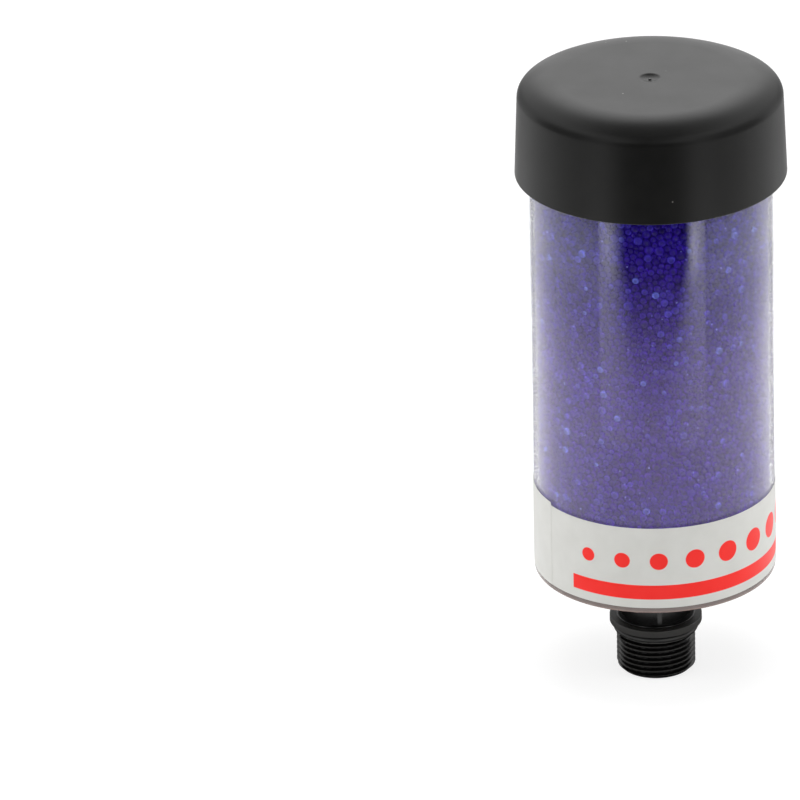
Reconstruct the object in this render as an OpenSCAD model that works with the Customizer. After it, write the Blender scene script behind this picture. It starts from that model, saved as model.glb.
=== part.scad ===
// Silica gel breather for an oil tank or a gearbox. A clear tube of blue indicator beads stands on
// a moulded base plate with eight air intake holes and a threaded stem, and a push-on cap closes it.
// Air enters at the holes, rises through foam, felt and beads, and leaves by the standpipe and stem.
// The origin is on the axis at the end face of the stem, with the tube above it.

/* [Housing tube] */
// Outer diameter of the clear tube
tube_od = 101.6; // [96:0.1:110]
// Wall thickness of the clear tube
tube_wall = 2; // [1.5:0.1:4]
// Length of the clear tube
tube_len = 213.8; // [160:0.1:260]

/* [Threaded stem] */
// Major diameter of the pipe thread
thread_d = 33.25; // [32:0.05:36]
// Length of the thread, with its lead-in chamfer
thread_len = 17; // [12:0.5:22]
// Length of the lead-in chamfer, which is cut at 45 degrees
lead_in = 2; // [1:0.1:2.5]
// Diameter of the air bore
bore_d = 24; // [18:0.5:25]
// Length of the plain land that carries the seal
land_len = 3.5; // [3.4:0.1:6]
// Diameter of the shoulder flange
flange_d = 39; // [37:0.1:44]
// Thickness of the shoulder flange
flange_t = 3.8; // [2.5:0.1:5]
// Bevel on the lower edge of the shoulder flange
flange_bevel = 0.8; // [0.3:0.1:1.2]
// Diameter of the plain neck above the flange
neck_d = 32; // [31:0.1:33]
// Length of the neck from the flange to the base plate
neck_len = 23.9; // [18:0.1:40]
// Diameter of the thicker root of the neck, which seats on the base plate
root_d = 33; // [32.6:0.1:35]
// Length of the thicker root
root_len = 13; // [6:0.5:16]
// Diameter of the tail that passes through the base plate
tail_d = 30.4; // [30:0.1:31.6]
// Depth of the socket for the standpipe
socket_depth = 12; // [6:0.5:14]

/* [Stem seal] */
// Thickness of the rubber ring
seal_cord = 3; // [2:0.1:3.2]
// Inner diameter of the rubber ring
seal_id = 30; // [28:0.1:30.6]

/* [Base plate] */
// Thickness of the rim below the tube
rim_t = 2.4; // [2.3:0.1:4]
// Rounding of the lower edge of the rim
rim_round = 0.8; // [0.3:0.1:2.2]
// Thickness of the plate
plate_t = 4; // [3:0.1:6]
// Height of the spigot inside the tube
spigot_h = 8; // [5:0.5:12]
// Wall of the spigot
spigot_wall = 5.9; // [3:0.1:7]
// Number of intake holes
hole_count = 8; // [6:1:10]
// Diameter of the circle through the hole centres
hole_pcd = 66.3; // [60:0.1:70]
// Diameter of an intake hole
hole_d = 10.3; // [6:0.1:11]
// Width of the chamfer round an intake hole
hole_chamfer = 1.35; // [0.5:0.05:1.6]
// Width of the flat floor between the stem and the collar
collar_floor = 3; // [2:0.1:5]
// Wall of the collar round the stem
collar_wall = 1.1; // [0.8:0.1:1.6]
// Height of the collar below the plate
collar_h = 3.6; // [1.5:0.1:6]

/* [Filling] */
// Outer diameter of the standpipe
pipe_od = 26; // [25.4:0.1:26.4]
// Wall of the standpipe
pipe_wall = 1.5; // [1:0.1:2]
// Height of the standpipe above the outlet foam
pipe_rise = 1.5; // [0.5:0.1:4]
// Thickness of each filter felt
felt_t = 6; // [3:0.5:10]
// Thickness of the outlet foam
outlet_foam_t = 14; // [6:0.5:20]

/* [Cap] */
// Height of the cap
cap_h = 41.8; // [30:0.1:50]
// Wall of the cap's skirt
cap_wall = 2.4; // [1.8:0.1:3]
// Thickness of the cap's top
cap_top_t = 2.6; // [2:0.1:4]
// Draft of the skirt in degrees
cap_draft = 2.3; // [0.5:0.1:2.4]
// Rise of the ceiling in the middle, above the seat on the tube's end
crown_rise = 2.4; // [1:0.1:4]
// Diameter of the flat middle of the top
crown_flat = 76; // [50:1:84]
// Drop of the bowed shoulder, from the flat middle to the top of the side
crown_drop = 8; // [7:0.1:12]
// Rounding of the top edge, between the shoulder and the side
cap_round = 5; // [3:0.5:6.5]
// Rounding of the corner inside the top edge, clear of the tube's end
cap_inner_round = 1.2; // [0.5:0.1:1.2]
// Gap between the skirt's mouth and the tube
skirt_gap = 3.4; // [2.4:0.1:5]
// Bevel inside the skirt's mouth
mouth_bevel = 0.8; // [0.3:0.1:1.2]
// Depth of the inner ring that plugs the tube
plug_depth = 8; // [5:0.5:12]
// Wall of the inner ring
plug_wall = 2; // [1.5:0.1:3]
// Diameter of the gate dimple in the top
gate_d = 9; // [5:0.5:14]
// Depth of the gate dimple
gate_depth = 0.9; // [0.4:0.1:1.2]
// Diameter of the gate's stub
gate_stub_d = 1.2; // [0.8:0.1:2]

/* [Label] */
// Height of the label strip
label_h = 36.7; // [20:0.1:60]
// Thickness of the label strip
label_t = 0.18; // [0.1:0.01:0.4]
// Height of the label's edge above the foot of the tube
label_lift = 0.1; // [0:0.1:3]
// Direction of the lapped end, in degrees from +X
lap_angle = 212; // [0:1:359]
// Length of the lap, in degrees round the tube
lap_sweep = 32; // [5:1:60]
// Height by which the lapped end stands above the other
lap_rise = 1.5; // [0:0.1:2]

/* [Hidden] */
$fn = 96;
// Play of bonded and stacked pieces
bond_clear = 0.1;
// Play between the fillings and the walls round them
fill_clear = 0.2;
// Play between the cap and what it closes
cap_clear = 0.3;
// Glue line under the label
glue_t = 0.05;
// Play of the rubber ring on its land and under its shoulder
seal_clear = 0.05;
// Overrun of cutting tools
cut = 1;

tube_r = tube_od / 2;
tube_ir = tube_r - tube_wall;
fill_r = tube_ir - fill_clear;
thread_r = thread_d / 2;
bore_r = bore_d / 2;
land_r = seal_id / 2 - seal_clear;
flange_r = flange_d / 2;
neck_r = neck_d / 2;
root_r = root_d / 2;
tail_r = tail_d / 2;
pipe_r = pipe_od / 2;
pipe_ir = pipe_r - pipe_wall;
socket_r = pipe_r + bond_clear;
hub_r = tail_r + bond_clear;
spigot_r = tube_ir - bond_clear;
spigot_ir = spigot_r - spigot_wall;
hole_r = hole_d / 2;
collar_ir = root_r + collar_floor;

// Levels up the axis
flange_z = thread_len + land_len;
neck_z = flange_z + flange_t;
plate_z = neck_z + neck_len;
plate_top = plate_z + plate_t;
tube_z = plate_z + rim_t;
tube_top = tube_z + tube_len;
spigot_top = tube_z + spigot_h;
gel_z = spigot_top + felt_t;
socket_z = gel_z - socket_depth;
cap_seat = tube_top + cap_clear;
cap_top = cap_seat + crown_rise + cap_top_t;
cap_mouth = cap_top - cap_h;
plug_z = cap_seat - plug_depth;
foam_top = plug_z - cap_clear;
foam_z = foam_top - outlet_foam_t;
gel_top = foam_z - felt_t;

mouth_r = tube_r + skirt_gap + cap_wall;
plug_r = tube_ir - cap_clear;

// Centres of the cap's edge and of its bowed shoulder, which runs tangent to the edge and the flat
crown_r = crown_flat / 2;
edge_z = cap_top - crown_drop;
edge_c = [mouth_r - (edge_z - cap_mouth) * tan(cap_draft) - cap_round / cos(cap_draft), edge_z];
edge_x = edge_c[0] - crown_r;
bow_r = (pow(edge_x, 2) + pow(crown_drop, 2) - pow(cap_round, 2)) / (2 * (crown_drop - cap_round));
bow_c = [crown_r, cap_top - bow_r];
bow_dir = (edge_c - bow_c) / norm(edge_c - bow_c);

// Round sleeve between two radii and two levels
module sleeve(inner, outer, low, high) {
    rotate_extrude()
        translate([inner, low])
            square([outer - inner, high - low]);
}

// Black moulded stem, turned from its half section
module threaded_stem() {
    color([0.07, 0.07, 0.07])
        rotate_extrude()
            polygon([
                [bore_r, 0],
                [thread_r - lead_in, 0],
                [thread_r, lead_in],
                [thread_r, thread_len],
                [land_r, thread_len],
                [land_r, flange_z],
                [flange_r - flange_bevel, flange_z],
                [flange_r, flange_z + flange_bevel],
                [flange_r, neck_z],
                [neck_r, neck_z],
                [neck_r, plate_z - root_len],
                [root_r, plate_z - root_len],
                [root_r, plate_z],
                [tail_r, plate_z],
                [tail_r, gel_z],
                [socket_r, gel_z],
                [socket_r, socket_z],
                [bore_r, socket_z]
            ]);
}

// Rubber ring on the land, under the shoulder
module stem_seal() {
    color([0.05, 0.05, 0.05])
        rotate_extrude()
            translate([(seal_id + seal_cord) / 2, flange_z - seal_cord / 2 - seal_clear])
                circle(d = seal_cord);
}

// Half section of the plate: flush rim with a round lower edge, flat web and spigot
module plate_section() {
    polygon([
        [hub_r, plate_z],
        [tube_r - rim_round, plate_z],
        [tube_r, plate_z + rim_round],
        [tube_r, tube_z],
        [spigot_r, tube_z],
        [spigot_r, spigot_top],
        [spigot_ir, spigot_top],
        [spigot_ir, plate_top],
        [hub_r, plate_top]
    ]);
    translate([tube_r - rim_round, plate_z + rim_round])
        intersection() {
            circle(r = rim_round);
            translate([0, -rim_round])
                square(rim_round);
        }
}

// Half section of the collar, with a round lip
module collar_section() {
    lip_r = collar_wall / 2;
    translate([collar_ir, plate_z - collar_h + lip_r])
        square([collar_wall, collar_h - lip_r]);
    translate([collar_ir + lip_r, plate_z - collar_h + lip_r])
        circle(r = lip_r);
}

// Through hole with a chamfered mouth in the lower face
module intake_hole() {
    translate([hole_pcd / 2, 0, plate_z]) {
        translate([0, 0, -cut])
            cylinder(h = plate_t + 2 * cut, r = hole_r);
        translate([0, 0, -cut])
            cylinder(h = cut + hole_chamfer, r1 = hole_r + hole_chamfer + cut, r2 = hole_r);
    }
}

// Smoky clear moulded disc that carries the tube and the stem
module base_plate() {
    color([0.45, 0.42, 0.40, 0.6])
        difference() {
            union() {
                rotate_extrude()
                    plate_section();
                rotate_extrude()
                    collar_section();
            }
            for (i = [0 : hole_count - 1])
                rotate(i * 360 / hole_count)
                    intake_hole();
        }
}

// Clear extruded tube, bonded over the spigot
module housing_tube() {
    color([0.85, 0.88, 0.92, 0.3])
        sleeve(tube_ir, tube_r, tube_z, tube_top);
}

// Printed strip, once round the tube, with its end lapped over its start
module label() {
    inner = tube_r + glue_t;
    low = tube_z + label_lift;
    color([0.87, 0.87, 0.85]) {
        sleeve(inner, inner + label_t, low, low + label_h);
        rotate(lap_angle - lap_sweep)
            rotate_extrude(angle = lap_sweep)
                translate([inner, low + lap_rise])
                    square([2 * label_t, label_h]);
    }
}

// Dark open-cell pad inside the spigot
module intake_foam() {
    color([0.10, 0.09, 0.09])
        sleeve(tail_r + fill_clear, spigot_ir - fill_clear, plate_top, spigot_top);
}

// Particle filter on the spigot and the pad
module intake_felt() {
    color([0.85, 0.85, 0.82])
        sleeve(tail_r + fill_clear, fill_r, spigot_top, gel_z);
}

// Outlet pipe, bonded in the socket of the stem
module standpipe() {
    color([0.80, 0.80, 0.80])
        sleeve(pipe_ir, pipe_r, socket_z, foam_top + pipe_rise);
}

// Charge of indicator beads, as the space it fills
module silica_gel() {
    color([0.16, 0.12, 0.55])
        sleeve(pipe_r + fill_clear, fill_r, gel_z, gel_top);
}

// Filter on top of the beads
module outlet_felt() {
    color([0.85, 0.85, 0.82])
        sleeve(pipe_r + fill_clear, fill_r, gel_top, foam_z);
}

// Springy pad that the cap holds down on the filling
module outlet_foam() {
    color([0.10, 0.09, 0.09])
        sleeve(pipe_r + fill_clear, fill_r, foam_z, foam_top);
}

// Half section of the cap's outside: drafted side, round edge, bowed shoulder and flat middle
module cap_outside() {
    polygon([
        [0, cap_mouth],
        [mouth_r, cap_mouth],
        edge_c + cap_round * [cos(cap_draft), sin(cap_draft)],
        edge_c + cap_round * bow_dir,
        [crown_r, cap_top],
        [0, cap_top]
    ]);
    translate(edge_c)
        circle(r = cap_round);
    intersection() {
        translate(bow_c)
            circle(r = bow_r);
        polygon([[crown_r, edge_z], bow_c + 2 * bow_r * [0, 1], bow_c + 2 * bow_r * bow_dir, edge_c]);
    }
}

// Half section of the cap's hollow up to the seat, with a round inner corner
module cap_inside() {
    inner_r = mouth_r - cap_wall;
    side_r = inner_r - (cap_seat - cap_mouth) * tan(cap_draft);
    centre_r = side_r - cap_inner_round * tan(45 - cap_draft / 2);
    centre_z = cap_seat - cap_inner_round;
    polygon([
        [0, cap_mouth],
        [inner_r, cap_mouth],
        [centre_r + cap_inner_round * cos(cap_draft), centre_z + cap_inner_round * sin(cap_draft)],
        [centre_r, cap_seat],
        [0, cap_seat]
    ]);
    translate([centre_r, centre_z])
        circle(r = cap_inner_round);
}

// Half section of the ceiling inside the plug ring, which follows the flat and the bowed shoulder
module ceiling_section() {
    intersection() {
        union() {
            square([crown_r, cap_top - cap_top_t]);
            translate(bow_c)
                circle(r = bow_r - cap_top_t);
        }
        translate([0, cap_seat - cut])
            square([plug_r - plug_wall, crown_rise + 2 * cut]);
    }
}

// Gate dimple, a shallow dish with the sheared stub in its middle
module gate_section() {
    dish_r = (pow(gate_d / 2, 2) + pow(gate_depth, 2)) / (2 * gate_depth);
    difference() {
        translate([0, cap_top - gate_depth + dish_r])
            intersection() {
                circle(r = dish_r);
                translate([0, -dish_r])
                    square([gate_d / 2, gate_depth + cut]);
            }
        translate([0, cap_top - gate_depth - cut])
            square([gate_stub_d / 2, cut + gate_depth / 2]);
    }
}

// Soft moulded cap: skirt clear of the tube, top on its end, inner ring in its bore
module cap() {
    color([0.09, 0.09, 0.09])
        rotate_extrude() {
            difference() {
                cap_outside();
                cap_inside();
                ceiling_section();
                polygon([
                    [0, cap_mouth - cut],
                    [mouth_r - cap_wall + mouth_bevel + cut, cap_mouth - cut],
                    [mouth_r - cap_wall, cap_mouth + mouth_bevel],
                    [0, cap_mouth + mouth_bevel]
                ]);
                gate_section();
            }
            translate([plug_r - plug_wall, plug_z])
                square([plug_wall, plug_depth]);
        }
}

threaded_stem();
stem_seal();
base_plate();
housing_tube();
label();
intake_foam();
intake_felt();
standpipe();
silica_gel();
outlet_felt();
outlet_foam();
cap();
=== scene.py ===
import bmesh
import bpy
import numpy as np
from mathutils import Matrix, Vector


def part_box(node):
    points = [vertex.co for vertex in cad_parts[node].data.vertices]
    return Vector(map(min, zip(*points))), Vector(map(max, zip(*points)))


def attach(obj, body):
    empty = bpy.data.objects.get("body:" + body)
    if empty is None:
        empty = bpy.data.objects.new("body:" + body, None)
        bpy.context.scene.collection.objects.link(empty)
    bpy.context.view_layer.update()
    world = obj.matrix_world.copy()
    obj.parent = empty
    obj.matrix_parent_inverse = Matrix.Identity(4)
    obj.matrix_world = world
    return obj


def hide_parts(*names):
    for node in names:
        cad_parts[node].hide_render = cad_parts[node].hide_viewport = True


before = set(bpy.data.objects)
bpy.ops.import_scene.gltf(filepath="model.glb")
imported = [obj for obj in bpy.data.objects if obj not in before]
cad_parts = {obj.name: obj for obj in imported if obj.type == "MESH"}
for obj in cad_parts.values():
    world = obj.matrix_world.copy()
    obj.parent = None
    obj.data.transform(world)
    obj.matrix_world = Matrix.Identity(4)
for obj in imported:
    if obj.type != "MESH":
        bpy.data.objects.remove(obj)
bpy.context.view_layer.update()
scene = bpy.context.scene

# Threaded stem
# Black moulded nylon in one shot: bore, end ring, one inch pipe thread, shoulder flange and neck.
# It is bonded into the hub of the base plate, and its socket holds the standpipe.
MM = 0.001
ROUND_STEPS, MERGE_WITHIN = 256, 0.004
TURN = np.arange(ROUND_STEPS) * 2 * np.pi / ROUND_STEPS
THREAD_R, THREAD_LEN, THREAD_PITCH, THREAD_DEPTH = 16.62, 17.0, 2.309, 1.35
FLANK_SLOPE, ROOT_FLAT, RUN_OUT, LEAD_IN, THREAD_ROWS = 1.5, 0.22, 1.6, 2.0, 220
BORE_R, END_R, END_BREAK = 12.0, 14.6, 0.25
LAND_R, FLANGE_R, FLANGE_Z, FLANGE_T, FLANGE_BEVEL = 14.95, 19.5, 20.5, 3.8, 0.8
NECK_R, ROOT_R, ROOT_LEN, PLATE_Z = 16.0, 16.5, 13.0, 48.2
TAIL_R, TAIL_TOP, SOCKET_R, SOCKET_Z = 15.2, 64.6, 13.1, 52.6


def rounded(corners, steps=5):
    """Closed (r, z) outline in which each corner (r, z, radius) is an arc tangent to both its sides.

    The arc starts radius / tan(half the corner's angle) before the corner and turns through the rest.
    A point a fifth of the radius beyond each end of the arc keeps the flat faces flat to the light.
    """
    outline = []
    for i, (r, z, radius) in enumerate(corners):
        here = np.array([r, z], float)
        if radius == 0:
            outline.append(here[None])
            continue
        before = np.array(corners[i - 1][:2], float) - here
        after = np.array(corners[(i + 1) % len(corners)][:2], float) - here
        before /= np.linalg.norm(before)
        after /= np.linalg.norm(after)
        half = np.arccos(np.clip(before @ after, -1, 1)) / 2
        middle = before + after
        centre = here + middle / np.linalg.norm(middle) * radius / np.sin(half)
        first = here + before * radius / np.tan(half) - centre
        last = here + after * radius / np.tan(half) - centre
        share = np.linspace(0, 1, steps + 1)[:, None]
        turn = np.pi - 2 * half
        arc = (np.sin((1 - share) * turn) * first + np.sin(share * turn) * last) / np.sin(turn)
        outline += [centre + first[None] + before * 0.2 * radius, centre + arc,
                    centre + last[None] + after * 0.2 * radius]
    return np.concatenate(outline)


def carried_round(radius, height):
    """Grid of points with rows of (radius, height) carried round the axis: x = r cos a, y = r sin a."""
    r = np.broadcast_to(radius, (len(height), ROUND_STEPS))
    z = np.broadcast_to(np.asarray(height)[:, None], r.shape)
    return np.stack([r * np.cos(TURN), r * np.sin(TURN), z], -1)


def turned(outline):
    """Grid of an (r, z) outline carried round the axis."""
    return carried_round(outline[:, :1], outline[:, 1])


def grid_faces(grid, close_rows, close_columns=True):
    """Quads of a grid of points, joined end to end along the directions that close."""
    rows, columns = grid.shape[:2]
    i = np.arange(rows if close_rows else rows - 1)[:, None]
    j = np.arange(columns if close_columns else columns - 1)[None]
    i2, j2 = (i + 1) % rows, (j + 1) % columns
    quads = [i * columns + j, i2 * columns + j, i2 * columns + j2, i * columns + j2]
    return np.stack([np.broadcast_to(q, (i.size, j.size)) for q in quads], -1).reshape(-1, 4)


def new_piece(name, points, faces, sharp=35, merge=True, outward=True):
    """Mesh object from millimetre points and an index array.

    Points at one place merge and faces turn outwards, unless told not to. Edges that bend by more than
    sharp degrees stay crisp, and 0 makes the whole piece smooth.
    """
    mesh = bpy.data.meshes.new(name)
    points = np.asarray(points, float).reshape(-1, 3) * MM
    mesh.vertices.add(len(points))
    mesh.vertices.foreach_set("co", points.astype(np.float32).ravel())
    mesh.loops.add(faces.size)
    mesh.loops.foreach_set("vertex_index", faces.astype(np.int32).ravel())
    mesh.polygons.add(len(faces))
    mesh.polygons.foreach_set("loop_start", np.arange(0, faces.size, faces.shape[1], dtype=np.int32))
    mesh.update(calc_edges=True)
    if outward:
        bm = bmesh.new()
        bm.from_mesh(mesh)
        if merge:
            bmesh.ops.remove_doubles(bm, verts=bm.verts, dist=MERGE_WITHIN * MM)
        bmesh.ops.recalc_face_normals(bm, faces=bm.faces)
        bm.to_mesh(mesh)
        bm.free()
    mesh.shade_smooth()
    if sharp:
        mesh.set_sharp_from_angle(angle=np.radians(sharp))
    piece = bpy.data.objects.new(name, mesh)
    scene.collection.objects.link(piece)
    return piece


def thread_radius(height, angle):
    """Radius of the thread: a ridge of straight flanks whose phase climbs one pitch each turn.

    The ridge is flat at its crest and root, cut off by the lead-in cone, and fades out before the land.
    """
    phase = (height / THREAD_PITCH - angle / (2 * np.pi)) % 1
    ridge = np.clip(FLANK_SLOPE * np.abs(2 * phase - 1) - ROOT_FLAT, 0, 1)
    fade = np.clip((THREAD_LEN - height) / RUN_OUT, 0, 1)
    radius = THREAD_R - THREAD_DEPTH * (1 - ridge * fade)
    return np.minimum(radius, END_R + height * (THREAD_R - END_R) / LEAD_IN)


above_thread = rounded([
    (LAND_R, THREAD_LEN, 0), (LAND_R, FLANGE_Z, 0.2), (FLANGE_R - FLANGE_BEVEL, FLANGE_Z, 0.25),
    (FLANGE_R, FLANGE_Z + FLANGE_BEVEL, 0.3), (FLANGE_R, FLANGE_Z + FLANGE_T, 0.35),
    (NECK_R, FLANGE_Z + FLANGE_T, 0.4), (NECK_R, PLATE_Z - ROOT_LEN, 0.1),
    (ROOT_R, PLATE_Z - ROOT_LEN, 0.15), (ROOT_R, PLATE_Z, 0), (TAIL_R, PLATE_Z, 0),
    (TAIL_R, TAIL_TOP, 0.3), (SOCKET_R, TAIL_TOP, 0.3), (SOCKET_R, SOCKET_Z, 0),
    (BORE_R, SOCKET_Z, 0), (BORE_R, 0, 0.35), (END_R, 0, 0.3),
])
thread_z = np.linspace(END_BREAK, THREAD_LEN, THREAD_ROWS)
thread_r = thread_radius(thread_z[:, None], TURN[None])
stem_grid = np.concatenate([carried_round(thread_r, thread_z), turned(above_thread)])
stem = new_piece("stem_with_thread", stem_grid, grid_faces(stem_grid, True), sharp=50)


def colour(code):
    """Linear RGBA of an sRGB hex code."""
    s = np.array([int(code[k:k + 2], 16) for k in (1, 3, 5)]) / 255
    linear = np.where(s <= 0.04045, s / 12.92, ((s + 0.055) / 1.055) ** 2.4)
    return (*linear.tolist(), 1.0)


def add(tree, kind, inputs=None, **settings):
    """Adds a shader node: settings are its properties, and inputs are what its sockets get.

    An input is a value, a socket to link, or a node, whose first output is linked.
    """
    made = tree.nodes.new("ShaderNode" + kind)
    for key, value in settings.items():
        setattr(made, key, value)
    for key, value in (inputs or {}).items():
        if isinstance(value, bpy.types.Node):
            value = value.outputs[0]
        if isinstance(value, bpy.types.NodeSocket):
            tree.links.new(value, made.inputs[key])
        else:
            made.inputs[key].default_value = value
    return made


def new_material(name):
    """Empty node material; returns it, its tree and the socket of its Object coordinates."""
    material = bpy.data.materials.new(name)
    material.use_nodes = True
    tree = material.node_tree
    tree.nodes.clear()
    return material, tree, add(tree, "TexCoord").outputs["Object"]


def per_metre(size_mm):
    """Scale of a pattern on Object coordinates whose features are about size_mm wide."""
    return 1 / (size_mm * MM)


def between(tree, value, low, high, soft, unit=MM):
    """Mask that is 1 where value lies from low to high, with edges that fade over soft to either side.

    Low, high and soft are in millimetres, or in the value's own unit where unit is 1.
    """
    off = add(tree, "Math", {0: value, 1: (low + high) / 2 * unit}, operation="SUBTRACT")
    far = add(tree, "Math", {0: off}, operation="ABSOLUTE")
    half = (high - low) / 2
    return add(tree, "MapRange", {"Value": far, "From Min": (half - soft) * unit,
                                  "From Max": (half + soft) * unit, "To Min": 1.0, "To Max": 0.0})


def off_axis(tree, place):
    """Coordinates of a place, as sockets by name, and the socket of its distance from the axis."""
    axis = add(tree, "SeparateXYZ", {"Vector": place}).outputs
    across = add(tree, "CombineXYZ", {"X": axis["X"], "Y": axis["Y"]})
    return axis, add(tree, "VectorMath", {0: across}, operation="LENGTH").outputs["Value"]


# Moulded black nylon: a glossy skin, a little uneven, rubbed matt and grey on the crests, the flange, the
# upper neck and the end. The matt is wear, and the grey is partly wear and partly a painted highlight. The
# underside of the flange lies in shade, gets no grey and stays glossy.
nylon, tree, place = new_material("moulded_black_nylon")
axis, reach = off_axis(tree, place)
crest = add(tree, "MapRange", {"Value": reach, "From Min": (THREAD_R - 0.4) * MM, "From Max": THREAD_R * MM})
end = add(tree, "MapRange", {"Value": axis["Z"], "From Min": 0.9 * MM, "From Max": 0.4 * MM})
# The underside of the flange lies in shade and is kept free of the grey.
shaded_under_flange = between(tree, axis["Z"], THREAD_LEN + 0.3, FLANGE_Z + FLANGE_BEVEL, 0.1)
outer = add(tree, "Math", {0: crest, 1: shaded_under_flange}, operation="SUBTRACT")
worn_and_highlit = add(tree, "Math", {0: outer, 1: end}, operation="MAXIMUM", use_clamp=True)
flow = add(tree, "TexNoise", {"Vector": place, "Scale": per_metre(4), "Detail": 3.0})
smooth = add(tree, "MapRange", {"Value": flow, "To Min": 0.09, "To Max": 0.14})
gloss = add(tree, "MapRange", {"Value": worn_and_highlit, "To Min": smooth, "To Max": 0.5})
grain = add(tree, "TexNoise", {"Vector": place, "Scale": per_metre(0.35), "Detail": 2.0})
skin = add(tree, "Bump", {"Height": grain, "Strength": 0.04, "Distance": 0.05 * MM})
dark = add(tree, "MixRGB", {"Fac": flow, "Color1": colour("#050505"), "Color2": colour("#0a0909")})
# The grey is partly wear and partly a painted highlight.
shade = add(tree, "MixRGB", {"Fac": worn_and_highlit, "Color1": dark, "Color2": colour("#2b2a28")})
skin_shader = add(tree, "BsdfPrincipled", {"Base Color": shade, "Roughness": gloss, "IOR": 1.53,
                                           "Normal": skin})
add(tree, "OutputMaterial", {"Surface": skin_shader})
stem.data.materials.append(nylon)
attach(stem, "housing")
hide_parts("threaded_stem")

# Stem seal
# Moulded nitrile rubber ring of 3 mm cord, round in section.
# It is stretched on the land of the stem, under the shoulder flange, and seals the stem in its port.
SEAL_R, SEAL_Z, SEAL_CORD, CORD_STEPS = 16.5, 18.95, 3.0, 32
PAINTED_SHADE_LOW, PAINTED_SHADE_HIGH, HIGHLIGHT_LINE_LOW, HIGHLIGHT_LINE_HIGH = 19.9, 21.0, 17.65, 18.0
around = np.arange(CORD_STEPS) * 2 * np.pi / CORD_STEPS
seal_grid = turned(np.column_stack([SEAL_R + SEAL_CORD / 2 * np.cos(around),
                                    SEAL_Z + SEAL_CORD / 2 * np.sin(around)]))
seal = new_piece("stem_seal_ring", seal_grid, grid_faces(seal_grid, True), sharp=0)

# Nitrile rubber: duller than the nylon beside it, with a faint bloom. Painted shade makes it near black
# where it is tucked up under the flange, and a painted highlight makes a pale line low down.
rubber, tree, place = new_material("nitrile_rubber")
axis = add(tree, "SeparateXYZ", {"Vector": place}).outputs
bloom = add(tree, "TexNoise", {"Vector": place, "Scale": per_metre(2.5), "Detail": 4.0})
open_face = add(tree, "MixRGB", {"Fac": bloom, "Color1": colour("#1c1c1b"), "Color2": colour("#2a2a28")})
# Painted shade: near black where the ring is tucked up under the flange.
painted_shade_under_flange = between(tree, axis["Z"], PAINTED_SHADE_LOW, PAINTED_SHADE_HIGH, 0.25)
face = add(tree, "MixRGB", {"Fac": painted_shade_under_flange, "Color1": open_face, "Color2": colour("#020202")})
# Painted highlight: a pale line low down on the ring.
painted_highlight_line = between(tree, axis["Z"], HIGHLIGHT_LINE_LOW, HIGHLIGHT_LINE_HIGH, 0.1)
shade = add(tree, "MixRGB", {"Fac": painted_highlight_line, "Color1": face, "Color2": colour("#7c7c78")})
gloss = add(tree, "MapRange", {"Value": bloom, "To Min": 0.38, "To Max": 0.5})
skin_shader = add(tree, "BsdfPrincipled", {"Base Color": shade, "IOR": 1.52, "Roughness": gloss})
add(tree, "OutputMaterial", {"Surface": skin_shader})
seal.data.materials.append(rubber)
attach(seal, "housing")
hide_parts("stem_seal")

# Base plate
# Smoky clear acrylic disc, moulded with eight intake holes, a collar round the stem and a spigot.
# The spigot is bonded into the foot of the tube.
HUB_R, COLLAR_IR, COLLAR_R, COLLAR_END = 15.3, 19.5, 20.6, 44.6
TUBE_R, TUBE_Z, RIM_ROUND = 50.8, 50.6, 0.8
SPIGOT_R, SPIGOT_IR, SPIGOT_TOP, PLATE_TOP = 48.7, 42.8, 58.6, 52.2
HOLES, HOLE_RING, HOLE_R, HOLE_CHAMFER = 8, 33.15, 5.15, 1.35
RING_IN, RING_OUT, SIDE_STEPS = 24.0, 41.5, 10
ARC_STEPS = ROUND_STEPS // HOLES


def hole_patch(number, rims):
    """Grid from ring to ring round one hole: each rim is (hole radius or None, height).

    A radius gives the hole's circle, and None the edge of the hole's own sector of the plate.
    """
    middle = 2 * np.pi * number / HOLES
    a = middle + np.linspace(-np.pi, np.pi, ARC_STEPS + 1)[:-1] / HOLES
    b = middle + np.linspace(np.pi, -np.pi, ARC_STEPS + 1)[:-1] / HOLES
    s = np.linspace(RING_OUT, RING_IN, SIDE_STEPS + 1)[:-1]
    t = np.linspace(RING_IN, RING_OUT, SIDE_STEPS + 1)[:-1]
    end, start = middle + np.pi / HOLES, middle - np.pi / HOLES
    edge = np.concatenate([
        RING_OUT * np.stack([np.cos(a), np.sin(a)], -1), s[:, None] * [np.cos(end), np.sin(end)],
        RING_IN * np.stack([np.cos(b), np.sin(b)], -1), t[:, None] * [np.cos(start), np.sin(start)]])
    centre = HOLE_RING * np.array([np.cos(middle), np.sin(middle)])
    way = (edge - centre) / np.linalg.norm(edge - centre, axis=1, keepdims=True)
    rows = [np.column_stack([edge if r is None else centre + r * way, np.full(len(edge), z)])
            for r, z in rims]
    return np.stack(rows)


def note(piece, name, values):
    """Gives each point of a piece a number that its material reads by name."""
    layer = piece.data.attributes.new(name, "FLOAT", "POINT")
    layer.data.foreach_set("value", values.astype(np.float32))


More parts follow.
